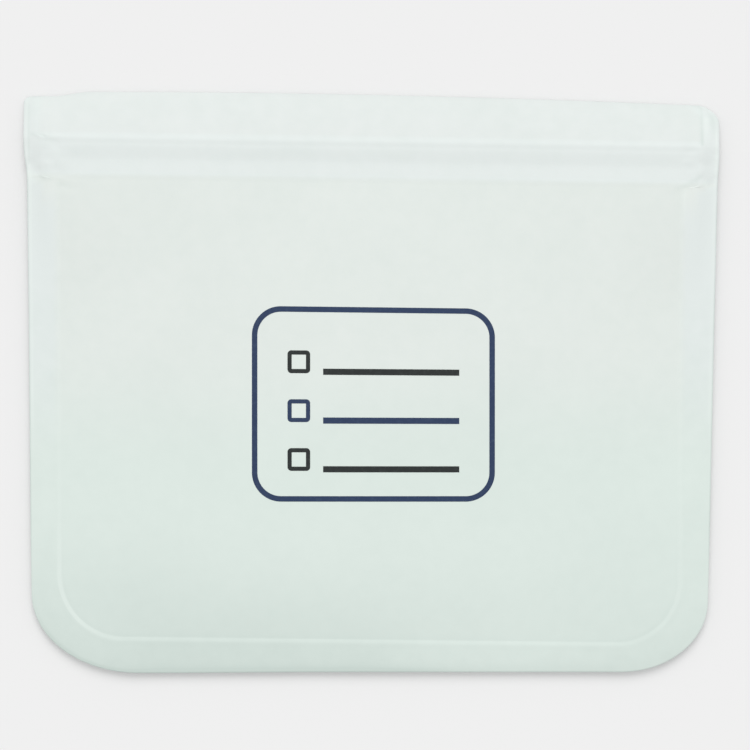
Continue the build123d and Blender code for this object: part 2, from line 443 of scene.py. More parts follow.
@dataclass
class Skin:
    """Heights of the bag's outer surfaces over its plan, in millimetres."""

    plan: Plan
    film: float = 0.5
    weld: float = 0.98
    crown: float = 3.7
    zip_lift: float = 2.47
    lift_power: int = 4
    side_lift_run: float = 42.0
    side_reach: Ramp = Ramp(34.0, 0.0)
    end_share: float = 0.3
    end_rise: Ramp = Ramp(1.2, 7.2)
    rim_droop: float = 0.6
    droop_run: float = 10.3
    zip_approach: float = 14.0
    lip_level: float = 1.5
    lip_power: float = 1.2
    lip_wave: float = 0.015
    lip_half_waves: float = 2.2
    lip_stack: float = 2.04
    lip_start: Ramp = Ramp(0.0, 0.25)
    back_lip_drop: float = 1.5
    full_sag: float = 0.62
    floor_gap: float = 0.02
    land_steps: tuple[tuple[float, Ramp], ...] = (
        (0.015, Ramp(1.1, 2.3)),
        (-0.2, Ramp(2.0, 6.4)),
        (0.3, Ramp(5.9, 11.7)),
        (-0.06, Ramp(11.0, 12.8)),
    )
    land_ends: Both = Both(Ramp(-97.5, -91.5), Ramp(104.0, 98.0))
    groove_depth: float = 0.02
    groove: Hump = Hump(1.2, 0.6)
    slack_waves: tuple[Waves, ...] = (Waves(0.13, 46.0, 1.7), Waves(0.03, 17.0, 5.2))
    puckers: tuple[Mark, ...] = (
        Mark((-104.0, 62.4), (-92.0, 60.4), 0.9, rise=0.12),
        Mark((-101.0, 61.0), (-89.0, 58.0), 1.4, rise=-0.08),
        Mark((103.5, 64.0), (92.0, 60.6), 1.1, rise=0.07),
        Mark((100.0, 62.0), (89.5, 58.6), 1.4, rise=-0.08),
    )
    dent_place: tuple[float, float] = (7.8, 69.2)
    dent_depth: float = 0.08
    dent: Hump = Hump(0.0, 0.8)
    crush_start: Ramp = Ramp(92.0, 98.0)
    crush_lumps: tuple[Waves, ...] = (Waves(0.16, 3.4, 9.1), Waves(0.05, 1.5, 4.4))
    weld_step: float = 0.04
    weld_seam: Hump = Hump(-0.2, 0.6)
    bead: float = 0.085
    bead_loss: float = 0.6
    bead_rise: Ramp = Ramp(0.0, 1.5)
    bead_fall: Ramp = Ramp(1.5, 2.9)
    pressed_edge: tuple[tuple[float, Ramp], ...] = ((0.07, Ramp(0.5, 0.0)), (0.14, Ramp(0.18, 0.0)))

    def __post_init__(self) -> None:
        """Reads the level of the welds' undersides, and sets the stretches that follow the zip."""
        plan = self.plan
        self.rim = node_box("perimeter_weld")[0].z
        self.near_zip = Ramp(plan.seal_bottom - self.zip_approach, plan.seal_bottom)
        self.crushed_zip = Both(
            Ramp(plan.zip_bottom - 1.5, plan.zip_bottom + 1.5), Ramp(plan.zip_top + 2.0, plan.zip_top - 1.0)
        )

    def inside(self, x: float, y: float) -> float:
        """How far a place lies inside the cut edge, and 0 outside it."""
        return max(0.0, -self.plan.past_outline(x, y, inner=False))

    def lip_share(self, y: float) -> float:
        """How far up the lips a place is, from 0 at the zip's top to 1 at their top edge."""
        return clamped((y - self.plan.zip_top) / (self.plan.top - self.plan.zip_top))

    def nearness(self, x: float) -> float:
        """How near a place is to a side weld: 1 on it and 0 well inside the pouch."""
        return self.side_reach(self.plan.cavity[Side.of(x)] - abs(x))

    def dome(self, x: float, y: float) -> float:
        """Rise of the pouch between its welds.

        Args:
            x: place along the mouth.
            y: place towards the mouth.

        Returns:
            0 along the welds and 1 where the pouch is fullest.
        """
        plan = self.plan
        left, right = plan.cavity[Side.LEFT], plan.cavity[Side.RIGHT]
        across = clamped((x + left) / (left + right))
        along = clamped((y - plan.cavity_bottom) / (plan.zip_bottom - plan.cavity_bottom))
        return swelling(across) * swelling(along)

    def lift(self, x: float, y: float) -> float:
        """Height that the zip holds the front film up, from the bottom weld to the zip.

        Args:
            x: place along the mouth.
            y: place towards the mouth.

        Returns:
            The height.
        """
        plan = self.plan
        up = max(0.0, (y - plan.cavity_bottom) / (plan.zip_bottom - plan.cavity_bottom))
        beside_weld = smooth(1.0 - (plan.zip_bottom - y) / self.side_lift_run)
        along = 1.0 if y >= plan.zip_bottom else lerp(up**self.lift_power, beside_weld, self.nearness(x))
        return self.zip_lift * along * lerp(self.end_share, 1.0, self.end_rise(self.inside(x, y)))

    def droop(self, x: float, y: float) -> float:
        """Height that the welds' free border sags towards its cut edge.

        Args:
            x: place along the mouth.
            y: place towards the mouth.

        Returns:
            The height.
        """
        run = lerp(self.droop_run, self.plan.mouth_half - self.plan.zip_end, self.near_zip(y))
        return self.rim_droop * max(0.0, 1.0 - self.inside(x, y) / run) ** 2 * (1.0 - self.lip_share(y))

    def relief(self, x: float, y: float) -> float:
        """Height of the two tracks and of the folds beside them over the land on the zip.

        Args:
            x: place along the mouth.
            y: place towards the mouth.

        Returns:
            The height.
        """
        down = self.plan.zip_top - y
        height = sum(rise * ramp(down) for rise, ramp in self.land_steps)
        return (height - self.groove_depth * self.groove(down)) * self.land_ends(x)

    def creases(self, x: float, y: float) -> float:
        """Slow waves of the free film, puckers below the zip's ends and a small dent.

        Args:
            x: place along the mouth.
            y: place towards the mouth.

        Returns:
            Their height.
        """
        height = sum(waves.at(x, y) for waves in self.slack_waves) * (1.0 - self.nearness(x))
        height += sum(pucker.rise * pucker.near(x, y) for pucker in self.puckers)
        return height - self.dent_depth * self.dent(math.dist((x, y), self.dent_place))

    def crush(self, x: float, y: float) -> float:
        """Lumps where the zip's ends are melted flat in the side seals."""
        lumps = sum(waves.at(x, y) for waves in self.crush_lumps)
        return lumps * self.crush_start(abs(x)) * self.crushed_zip(y)

    def base(self, x: float, y: float) -> float:
        """Height of the front film's upper side without the zip's relief.

        Args:
            x: place along the mouth.
            y: place towards the mouth.

        Returns:
            The height, which is never lower than the film lying on the back lip.
        """
        lip = self.lip_share(y)
        level = self.rim + self.weld + self.crown * self.dome(x, y) + self.lift(x, y)
        level = lerp(level, self.lip_level, lip**self.lip_power)
        level -= self.lip_wave * math.sin(lip * self.lip_half_waves * math.pi)
        level += self.creases(x, y) - self.droop(x, y)
        return max(level, self.back(x, y) + self.lip_stack * self.film * self.lip_start(lip))

    def front(self, x: float, y: float) -> float:
        """Height of the front film's upper side."""
        return self.base(x, y) + self.relief(x, y) + self.crush(x, y)

    def welded(self, x: float, y: float) -> float:
        """Height of a weld's upper side, with the bead on its inner border and its pressed cut edge.

        Args:
            x: place along the mouth.
            y: place towards the mouth.

        Returns:
            The height.
        """
        past, inside = self.plan.past_outline(x, y, inner=True), self.inside(x, y)
        height = self.front(x, y) + self.weld_step * (1.0 - self.weld_seam(past))
        height += self.bead * self.bead_rise(past) * (1.0 - self.bead_loss * self.bead_fall(past))
        return height - sum(depth * ramp(inside) for depth, ramp in self.pressed_edge)

    def back(self, x: float, y: float) -> float:
        """Height of the underside, where the pouch and the lips hang down to what the bag lies on.

        Args:
            x: place along the mouth.
            y: place towards the mouth.

        Returns:
            The height.
        """
        off_floor = (1.0 - clamped(self.dome(x, y) / self.full_sag)) ** 2
        level = self.rim * off_floor - self.back_lip_drop * self.lip_share(y) - self.droop(x, y)
        return max(0.0, level) + self.floor_gap


@dataclass(frozen=True)
class Spot:
    """A place on the plan and what its tone depends on.

    Past and inside are its distances outside the cavity's outline and inside the cut edge, in millimetres.
    Lips and low say how far up the lips and how low on the bag it is, from 0 to 1.
    """

    x: float
    y: float
    past: float
    inside: float
    lips: float
    low: float


@dataclass(frozen=True)
class Shade:
    """What one cause adds to a tone: an amount, faded by a curve over each measure of a spot that matters."""

    amount: float
    x: Curve = always
    out: Curve = always
    y: Curve = always
    past: Curve = always
    inside: Curve = always
    lips: Curve = always
    low: Curve = always

    def at(self, spot: Spot) -> float:
        """What it adds at a spot."""
        place = self.x(spot.x) * self.out(abs(spot.x)) * self.y(spot.y) * self.low(spot.low)
        return self.amount * place * self.past(spot.past) * self.inside(spot.inside) * self.lips(spot.lips)


@dataclass
class Tint:
    """Tones over the plan: how cool the plastic is, its painted shade together with its own cloudier tone, and
    its painted highlights.
    """

    skin: Skin
    zip_cool: float = 1.3
    # The lips' share of the lip colour, partly their own tone and partly painted shade
    lip_tone_and_shade: float = 2.0
    lip_start: Ramp = Ramp(0.0, 1.0 / 6.0)
    lip_rim: Ramp = Ramp(1.0, 7.0)
    band_start: Ramp = Ramp(0.0, 3.0)
    band_outer: Ramp = Ramp(4.0, 7.0)
    low_start: float = -43.0
    low_end: float = -87.0
    low_lead: float = 13.0
    low_sides: Ramp = Ramp(40.0, 80.0)
    # Painted shade and painted highlights along puckers and folds by the zip's ends and the side seals
    marks: tuple[Mark, ...] = (
        Mark((102.3, 75.0), (102.3, 89.0), 0.55, dense=0.5),
        Mark((103.7, 84.5), (103.7, 75.5), 1.0, pale=0.45),
        Mark((105.6, 86.0), (106.4, 78.0), 1.2, dense=0.2),
        Mark((102.1, 65.1), (94.3, 61.2), 0.9, dense=0.3),
        Mark((103.0, 63.1), (105.4, 61.1), 0.8, pale=0.5),
        Mark((96.8, 60.3), (96.7, 50.4), 0.5, pale=0.35),
        Mark((106.9, 80.0), (106.6, 62.0), 0.3, pale=0.3),
        Mark((-105.6, 62.9), (-102.1, 60.4), 1.3, pale=0.55),
        Mark((-102.7, 62.2), (-93.4, 58.9), 0.6, dense=0.25),
        Mark((-105.2, 75.4), (-99.3, 74.0), 0.9, dense=0.2),
        Mark((-106.1, 66.4), (-106.3, 87.0), 0.5, dense=0.4),
    )

    def __post_init__(self) -> None:
        """Sets the shades of the tones, along the bag's own outlines."""
        seal, zip_bottom = self.skin.plan.seal_bottom, self.skin.plan.zip_bottom
        self.on_zip = Ramp(zip_bottom - 1.0, zip_bottom + 2.0)
        self.under_zip = Ramp(seal, seal - 12.0)
        left, sides, lowest, upper = Ramp(0.0, -10.0), Ramp(80.0, 92.0), Ramp(-60.0, -85.0), Ramp(-25.0, -5.0)
        bead, rim = Both(Ramp(-0.15, 0.25), Ramp(1.5, 1.1)), Hump(1.0, 0.4)
        self.dense = (
            # Painted shade over the low part of the pouch, which tilts away from the light: less right of its
            # middle and more towards the left
            Shade(0.3, low=plain),
            Shade(-0.2, low=plain, x=Hump(42.0, 30.0)),
            Shade(0.1, low=plain, x=Ramp(0.0, -90.0)),
            # Painted shadow in the groove beside the bead
            Shade(0.1, low=plain, past=Hump(-0.5, 0.6)),
            # Painted shade on the bottom weld, left and right, where it faces away from the light
            Shade(0.15, past=Ramp(0.0, 2.0), x=Hump(-45.0, 45.0), y=lowest),
            Shade(0.07, past=Ramp(0.0, 1.5), x=Both(Ramp(-40.0, -10.0), Ramp(88.0, 73.0)), y=lowest),
            # Painted light on the upper side welds and the zip, lighter towards the light beyond the mouth
            Shade(-0.15, past=Ramp(0.0, 3.0), y=Ramp(15.0, 40.0), lips=rest),
            Shade(-0.1, y=self.on_zip, lips=rest),
            # Painted shade along the cut edge, along the bottom and up the sides
            Shade(0.25, inside=Ramp(4.0, 0.0), out=Ramp(92.0, 62.0), y=lowest),
            Shade(0.4, inside=Hump(0.7, 0.7), x=Ramp(50.0, -10.0), y=lowest),
            Shade(0.6, inside=Ramp(0.6, 0.0), y=Both(Ramp(-62.0, -42.0), Ramp(78.0, 70.0))),
            # The lips, more towards the right: partly the single film's own tone and partly painted shade
            # against the light on their slope
            Shade(0.03, lips=self.lip_start),
            Shade(0.05, lips=self.lip_start, x=Ramp(0.0, 90.0)),
            # Broad patches: lighter low in the middle, painted light where the pouch slopes away from the
            # light; darker low on the left and lighter high on both sides
            Shade(-0.1, x=Hump(0.0, 60.0), y=Hump(-54.0, 22.0)),
            Shade(0.08, x=Hump(-28.0, 48.0), y=Hump(-76.0, 16.0)),
            Shade(-0.05, x=Hump(92.0, 18.0), y=Hump(42.0, 22.0)),
            Shade(-0.05, x=Hump(-80.0, 26.0), y=Hump(44.0, 18.0)),
        )
        self.pale = (
            # Painted highlight on the bead, along the bottom and up the sides
            Shade(0.12, low=plain, x=Ramp(120.0, -40.0), past=bead),
            Shade(-0.084, low=plain, x=Both(Ramp(120.0, -40.0), Hump(-12.0, 60.0)), past=bead),
            Shade(0.09, out=sides, y=Ramp(seal, seal - 4.0), past=bead),
            Shade(0.12, out=sides, x=left, y=Ramp(-42.0, -60.0), past=bead),
            # Painted highlight along the inside of the cut edge, where the edge catches the light
            Shade(0.2, inside=rim, y=upper),
            Shade(0.1, inside=rim, x=left, y=Both(upper, Ramp(seal, seal - 2.0))),
        )

    def spot(self, x: float, y: float) -> Spot:
        """Measures a place.

        Args:
            x: place along the mouth.
            y: place towards the mouth.

        Returns:
            The place with what its tone depends on.
        """
        lead = self.low_lead * self.low_sides(abs(x))
        low = Ramp(lead + self.low_start, self.low_end)(y)
        past = self.skin.plan.past_outline(x, y, inner=True)
        return Spot(x, y, past, self.skin.inside(x, y), self.skin.lip_share(y), low)

    def cool(self, spot: Spot) -> float:
        """How cool the plastic is: up to 1 on the welds, a little more on the zip and 2 on the lips, where it
        brings in the lip colour, partly the lips' own tone and partly painted shade.

        Args:
            spot: the measured place.

        Returns:
            The tone.
        """
        band = self.band_start(spot.past) * max(self.under_zip(spot.y), self.band_outer(spot.past))
        lips = self.lip_start(spot.lips) * self.lip_rim(spot.inside)
        return max(self.zip_cool * self.on_zip(spot.y), band, self.lip_tone_and_shade * lips)

    def at(self, x: float, y: float) -> tuple[float, float, float]:
        """The tones at a place.

        Args:
            x: place along the mouth.
            y: place towards the mouth.

        Returns:
            How cool the plastic is, its painted shade together with its own cloudier tone, and its painted
            highlights.
        """
        spot = self.spot(x, y)
        dense = sum(shade.at(spot) for shade in self.dense)
        pale = sum(shade.at(spot) for shade in self.pale)
        for mark in self.marks:
            near = mark.near(x, y)
            dense += mark.dense * near
            pale += mark.pale * near
        return self.cool(spot), dense, pale


@dataclass
class SheetMaker:
    """Makes closed sheets over the plan and paints their tones."""

    plan: Plan
    skin: Skin
    tint: Tint

    def make(
        self,
        columns: Sequence[float],
        rows: Sequence[float],
        where: Place,
        upper: Height,
        under: Height,
    ) -> bmesh.types.BMesh:
        """A closed sheet over a grid.

        Args:
            columns: values across the grid.
            rows: values along it.
            where: place on the plan for a column and a row.
            upper: height of the upper side over a place.
            under: height of the underside.

        Returns:
            A bmesh, which the caller frees. A grid whose first and last columns meet becomes a ring.
        """
        mesh = bmesh.new()
        bmesh.ops.create_grid(mesh, x_segments=len(columns) - 1, y_segments=len(rows) - 1, size=1.0)
        tone = mesh.verts.layers.float_vector.new("tone")
        spot = mesh.verts.layers.float_vector.new("spot")
        for vert in mesh.verts:
            column = columns[round((vert.co.x + 1.0) / 2 * (len(columns) - 1))]
            row = rows[round((vert.co.y + 1.0) / 2 * (len(rows) - 1))]
            x, y = where(column, row)
            vert[spot] = (x, y, 0.0)
            vert[tone] = self.tint.at(x, y)
            vert.co = self.plan.laid(x, y, under(x, y))
        bmesh.ops.remove_doubles(mesh, verts=mesh.verts[:], dist=TINY)
        lower = set(mesh.verts)
        bmesh.ops.extrude_face_region(mesh, geom=mesh.faces[:], use_keep_orig=True)
        for vert in mesh.verts:
            if vert not in lower:
                x, y, _ = vert[spot]
                vert.co = self.plan.laid(x, y, upper(x, y))
        mesh.verts.layers.float_vector.remove(spot)
        bmesh.ops.recalc_face_normals(mesh, faces=mesh.faces[:])
        return mesh


def make_piece(
    name: str, mesh: bmesh.types.BMesh, material: bpy.types.Material, crease: float = 38.0
) -> bpy.types.Object:
    """Turns a bmesh into a shaded object at the origin.

    Args:
        name: name of the object.
        mesh: the bmesh, which is freed.
        material: its finish.
        crease: angle in degrees past which an edge is shaded sharp.

    Returns:
        The object.
    """
    data = bpy.data.meshes.new(name)
    mesh.to_mesh(data)
    mesh.free()
    data.shade_smooth()
    data.set_sharp_from_angle(angle=math.radians(crease))
    data.materials.append(material)
    made = bpy.data.objects.new(name, data)
    bpy.context.collection.objects.link(made)
    LOG.info("%s: %d faces", name, len(data.polygons))
    return made


# Finishes


Colour = tuple[float, float, float, float]

Value = float | Sequence[float] | bpy.types.NodeSocket

NOISE_LOW, NOISE_HIGH = 0.3, 0.7


def srgb(red: float, green: float, blue: float) -> Colour:
    """A colour written as on a screen.

    Args:
        red: its red, from 0 to 255.
        green: its green.
        blue: its blue.

    Returns:
        The shader's linear colour.
    """
    levels = [level / 255 for level in (red, green, blue)]
    linear = [level / 12.92 if level <= 0.04045 else ((level + 0.055) / 1.055) ** 2.4 for level in levels]
    return linear[0], linear[1], linear[2], 1.0


class Nodes:
    """Builds a node tree with short calls."""

    def __init__(self, tree: bpy.types.NodeTree) -> None:
        """Takes the tree that the nodes go in."""
        self.tree = tree

    def add(
        self, kind: str, inputs: dict[str | int, Value] | None = None, **settings: object
    ) -> bpy.types.Node:
        """Adds a node.

        Args:
            kind: the node's type.
            inputs: its values or links, by the socket's name or number.
            settings: its own properties.

        Returns:
            The node.
        """
        node = self.tree.nodes.new(kind)
        for name, value in settings.items():
            setattr(node, name, value)
        for name, value in (inputs or {}).items():
            if isinstance(value, bpy.types.NodeSocket):
                self.tree.links.new(value, node.inputs[name])
            else:
                node.inputs[name].default_value = value
        return node

    def math(self, operation: str, *values: Value) -> bpy.types.NodeSocket:
        """A math node's result on values or links."""
        return self.add("ShaderNodeMath", dict(enumerate(values)), operation=operation).outputs[0]

    def ranged(
        self, value: Value, low: float, high: float, to_low: float, to_high: float
    ) -> bpy.types.NodeSocket:
        """A value carried smoothly from one range to another and held at its ends."""
        inputs = {"Value": value, "From Min": low, "From Max": high, "To Min": to_low, "To Max": to_high}
        return self.add("ShaderNodeMapRange", inputs, interpolation_type="SMOOTHSTEP").outputs["Result"]

    def noise(self, place: bpy.types.NodeSocket, scale: float, detail: float) -> bpy.types.NodeSocket:
        """Smooth noise over the place on a piece."""
        inputs = {"Vector": place, "Scale": scale, "Detail": detail}
        return self.add("ShaderNodeTexNoise", inputs).outputs["Fac"]

    def mixed(self, share: Value, first: Value, second: Value) -> bpy.types.NodeSocket:
        """A colour between two colours."""
        inputs = {"Factor": share, 6: first, 7: second}
        return self.add("ShaderNodeMix", inputs, data_type="RGBA").outputs[2]


@dataclass(frozen=True)
class FrostGroup:
    """The node group for frosted plastic film: toned cloudy colour and a fine uneven skin.

    The tone attribute says how cool the plastic is, how much painted shade and cloudier tone it has, and how
    much painted highlight. The lips are cool to 2, which brings in the lip colour, partly painted shade.
    Scales are per metre, and the low colour comes in between two values of Y in metres.
    """

    broad_scale: float = 38.0
    fine_scale: float = 230.0
    grain_scale: float = 1500.0
    base_density: float = 0.13
    low_start: float = 0.015
    low_end: float = -0.03
    least_rough: float = 0.46
    most_rough: float = 0.56
    grain_share: float = 0.35
    skin_depth: float = 0.0002

    def sockets(self, group: bpy.types.ShaderNodeTree) -> None:
        """Gives the group its inputs and outputs.

        Args:
            group: the node group.
        """
        colours = ("Colour", "Cool Colour", "Lip Colour", "Low Colour", "Dense And Shade Colour", "Painted Highlight Colour")
        sockets = [(name, "INPUT", "NodeSocketColor") for name in colours]
        sockets += [(name, "INPUT", "NodeSocketFloat") for name in ("Clouding", "Grain")]
        sockets += [
            ("Colour", "OUTPUT", "NodeSocketColor"),
            ("Roughness", "OUTPUT", "NodeSocketFloat"),
            ("Normal", "OUTPUT", "NodeSocketVector"),
        ]
        for name, in_out, kind in sockets:
            group.interface.new_socket(name=name, in_out=in_out, socket_type=kind)

    def make(self) -> bpy.types.ShaderNodeTree:
        """Builds the group.

        Returns:
            A group that puts out Colour, Roughness and Normal.
        """
        group = bpy.data.node_groups.new("frosted_film", "ShaderNodeTree")
        self.sockets(group)
        nodes = Nodes(group)
        given = nodes.add("NodeGroupInput").outputs
        place = nodes.add("ShaderNodeTexCoord").outputs["Object"]
        painted = nodes.add("ShaderNodeAttribute", attribute_name="tone").outputs["Vector"]
        tone = nodes.add("ShaderNodeSeparateXYZ", {"Vector": painted}).outputs
        broad = nodes.noise(place, self.broad_scale, 2.0)
        fine = nodes.noise(place, self.fine_scale, 3.0)
        grain = nodes.noise(place, self.grain_scale, 2.0)
        cloud = nodes.math("ADD", nodes.math("SUBTRACT", broad, 0.5), nodes.math("SUBTRACT", fine, 0.5))
        clouded = nodes.math("MULTIPLY", cloud, given["Clouding"])
        # Painted shade from the tone attribute, with the film's own base tone and clouding
        dense = nodes.math("ADD", nodes.math("ADD", tone["Y"], self.base_density), clouded)
        height = nodes.add("ShaderNodeSeparateXYZ", {"Vector": place}).outputs["Y"]
        low = nodes.ranged(height, self.low_start, self.low_end, 0.0, 1.0)
        colour = nodes.mixed(tone["X"], given["Colour"], given["Cool Colour"])
        # The lip colour: partly the lips' own tone and partly painted shade against the light on their slope
        colour = nodes.mixed(nodes.math("SUBTRACT", tone["X"], 1.0), colour, given["Lip Colour"])
        colour = nodes.mixed(low, colour, given["Low Colour"])
        colour = nodes.mixed(dense, colour, given["Dense And Shade Colour"])
        # Painted highlights from the tone attribute
        colour = nodes.mixed(tone["Z"], colour, given["Painted Highlight Colour"])
        rough = nodes.ranged(fine, NOISE_LOW, NOISE_HIGH, self.least_rough, self.most_rough)
        skin = nodes.math("ADD", nodes.math("MULTIPLY", grain, self.grain_share), fine)
        bumps = {"Height": skin, "Strength": given["Grain"], "Distance": self.skin_depth}
        normal = nodes.add("ShaderNodeBump", bumps).outputs["Normal"]
        nodes.add("NodeGroupOutput", {"Colour": colour, "Roughness": rough, "Normal": normal})
        return group


@dataclass(frozen=True)
class FilmFinish:
    """Frosted translucent film, or a weld or moulded strip of the same plastic."""

    name: str
    colour: Colour = srgb(230, 236, 232)
    cool_colour: Colour = srgb(229, 236, 234)
    # Partly the lips' own tone and partly painted shade against the light on their slope
    lip_colour: Colour = srgb(226, 231, 229)
    low_colour: Colour = srgb(224, 235, 229)
    # Colour that the painted shade and the film's own cloudier patches go towards
    dense_and_shade_colour: Colour = srgb(203, 216, 210)
    # Colour of the painted highlights
    painted_highlight_colour: Colour = srgb(236, 245, 240)
    clouding: float = 0.22
    grain: float = 0.14
    ior: float = 1.41
    specular: float = 0.25

    def make(self, frost: bpy.types.ShaderNodeTree) -> bpy.types.Material:
        """Builds the material around the frost group.

        Args:
            frost: the node group.

        Returns:
            The material.
        """
        material = bpy.data.materials.new(self.name)
        material.use_nodes = True
        shader = material.node_tree.nodes["Principled BSDF"]
        given = {
            "Colour": self.colour,
            "Cool Colour": self.cool_colour,
            "Lip Colour": self.lip_colour,
            "Low Colour": self.low_colour,
            "Dense And Shade Colour": self.dense_and_shade_colour,
            "Painted Highlight Colour": self.painted_highlight_colour,
            "Clouding": self.clouding,
            "Grain": self.grain,
        }
        made = Nodes(material.node_tree).add("ShaderNodeGroup", node_tree=frost)
        for name, value in given.items():
            made.inputs[name].default_value = value
        for output, socket in (("Colour", "Base Color"), ("Roughness", "Roughness"), ("Normal", "Normal")):
            material.node_tree.links.new(made.outputs[output], shader.inputs[socket])
        shader.inputs["IOR"].default_value = self.ior
        shader.inputs["Specular IOR Level"].default_value = self.specular
        return material


@dataclass(frozen=True)
class InkFinish:
    """Screen-printed ink with a faintly uneven cover."""

    name: str
    colour: Colour
    thin_colour: Colour
    speck_scale: float = 900.0
    thin_start: float = 0.45
    thin_end: float = 0.75
    most_thin: float = 0.5
    least_rough: float = 0.5
    most_rough: float = 0.6
    specular: float = 0.25

    def make(self) -> bpy.types.Material:
        """Builds the material.

        Returns:
            The material.
        """
        material = bpy.data.materials.new(self.name)
        material.use_nodes = True
        nodes = Nodes(material.node_tree)
        shader = material.node_tree.nodes["Principled BSDF"]
        place = nodes.add("ShaderNodeTexCoord").outputs["Object"]
        speck = nodes.noise(place, self.speck_scale, 3.0)
        thin = nodes.ranged(speck, self.thin_start, self.thin_end, 0.0, self.most_thin)
        rough = nodes.ranged(speck, NOISE_LOW, NOISE_HIGH, self.least_rough, self.most_rough)
        links = material.node_tree.links
        links.new(nodes.mixed(thin, self.colour, self.thin_colour), shader.inputs["Base Color"])
        links.new(rough, shader.inputs["Roughness"])
        shader.inputs["Specular IOR Level"].default_value = self.specular
        return material


@dataclass
class Palette:
    """Every finish on the bag."""

    def __post_init__(self) -> None:
        """Builds the materials."""
        frost = FrostGroup().make()
        self.film = FilmFinish("frosted_film").make(frost)
        self.weld = FilmFinish("fused_weld", clouding=0.3, grain=0.2).make(frost)
        self.strip = FilmFinish("zip_profile", clouding=0.12, grain=0.08).make(frost)
        self.navy = InkFinish("navy_ink", srgb(45, 61, 92), srgb(62, 78, 106)).make()
        self.charcoal = InkFinish("charcoal_ink", srgb(42, 46, 46), srgb(60, 65, 64)).make()


# Films


@dataclass
class Films:
    """The front film in two halves, the front lip in two halves, and the back film."""

    maker: SheetMaker
    palette: Palette
    tuck: float = 0.3
    hair: float = 0.04
    pinch_half: float = 10.0
    seam_run: float = 8.0
    seam_low: float = 1.0
    seam_high: float = 0.6
    corner_steps: int = 12
    body_steps: int = 46
    seam_steps: int = 12
    zip_steps: int = 42
    lip_steps: int = 24
    grip_stops: Stops = ((0.0, 0), (1.0, 20))
    outer_stops: Stops = ((1.0, 0), (1.9, 26), (2.0, 8))
    back_stops: Stops = ((0.0, 0), (1.0, 16), (1.85, 20), (2.0, 8))

    def __post_init__(self) -> None:
        """Takes the plan and the skin from the sheet maker."""
        self.plan, self.skin = self.maker.plan, self.maker.skin

    def rows(self, low: float, high: float) -> list[float]:
        """Places towards the mouth of the films' rows, closer over the corners and the zip.

        Args:
            low: the lowest row.
            high: the highest row.

        Returns:
            The rows from low to high.
        """
        plan = self.plan
        radius = plan.cavity_radius + self.tuck
        turns = [step / self.corner_steps * math.pi / 2 for step in range(self.corner_steps)]
        rows = [plan.cavity_level - radius * math.cos(turn) for turn in turns]
        seam = plan.seal_bottom
        rows += steps(
            (plan.cavity_level, 0),
            (seam - self.seam_run, self.body_steps),
            (seam - self.seam_low, self.seam_steps),
        )
        rows += steps((seam - self.seam_high, 0), (plan.hinge.y, self.zip_steps), (plan.top, self.lip_steps))
        return [row for row in rows if low - TINY < row < high + TINY]

    def where(self, side: Side, column: float, y: float) -> tuple[float, float]:
        """A place on a film.

        Args:
            side: the side of the bag.
            column: 0 in the middle, 1 beside the free grip and 2 at the film's edge.
            y: place towards the mouth.

        Returns:
            X and Y.
        """
        grip = self.plan.grip_half
        if column <= 1.0:
            return side.value * grip * column, y
        return side.value * lerp(grip, self.plan.inner_edge(side, y, self.tuck), column - 1.0), y

    def sheet(self, side: Side, columns: Sequence[float], rows: Sequence[float]) -> bmesh.types.BMesh:
        """A stretch of the front film as a closed sheet.

        Args:
            side: the side of the bag.
            columns: its columns, as where takes them.
            rows: its rows.

        Returns:
            A bmesh, which the caller frees.
        """
        return self.maker.make(
            columns,
            rows,
            lambda column, y: self.where(side, column, y),
            self.skin.front,
            lambda x, y: self.skin.base(x, y) - self.skin.film,
        )

    def front_half(self, side: Side) -> None:
        """Builds one half of the front film: the pouch's wall, and the lip's shoulder beside the free grip.

        Args:
            side: the side of the bag.
        """
        plan = self.plan
        outer = steps(*self.outer_stops)
        parts = {
            f"front_film_{side.word}": (steps(*self.grip_stops) + outer[1:], -math.inf, plan.hinge.y),
            f"lip_shoulder_{side.word}": (outer, plan.hinge.y, math.inf),
        }
        for name, (columns, low, high) in parts.items():
            part = make_piece(name, self.sheet(side, columns, self.rows(low, high)), self.palette.film)
            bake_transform(part)
            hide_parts("front_panel")

    def grip_half(self, side: Side) -> None:
        """Builds one half of the free middle of the front lip, which peels forward for a finger.

        Args:
            side: the side of the bag.
        """
        mesh = self.sheet(side, steps(*self.grip_stops), self.rows(self.plan.hinge.y, math.inf))
        grip = make_piece(f"front_lip_{side.word}", mesh, self.palette.film)
        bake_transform(grip)
        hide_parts("front_lip")

    def back_film(self) -> None:
        """Builds the back film, from the bottom weld to the back lip's top edge."""

        def under(x: float, y: float) -> float:
            """Height of the film's underside, a hair above the welds' where it runs on between them.

            Args:
                x: place along the mouth.
                y: place towards the mouth.

            Returns:
                The height.
            """
            tucked = self.plan.past_outline(x, y, inner=True)
            if y < self.plan.seal_bottom:
                tucked = max(tucked, abs(x) - self.plan.cavity[Side.of(x)])
            return self.skin.back(x, y) + self.hair * smooth(tucked / self.tuck)

        half = steps(*self.back_stops)
        columns = [-column for column in reversed(half[1:])] + half
        mesh = self.maker.make(
            columns,
            self.rows(-math.inf, math.inf),
            lambda column, y: self.where(Side.of(column), abs(column), y),
            lambda x, y: self.skin.back(x, y) + self.skin.film,
            under,
        )
        film = make_piece("back_film", mesh, self.palette.film)
        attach(film, "back")
        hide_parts("back_panel")

    def build(self) -> None:
        """Builds all the films."""
        for side in Side:
            self.front_half(side)
            self.grip_half(side)
        self.back_film()


# Welds


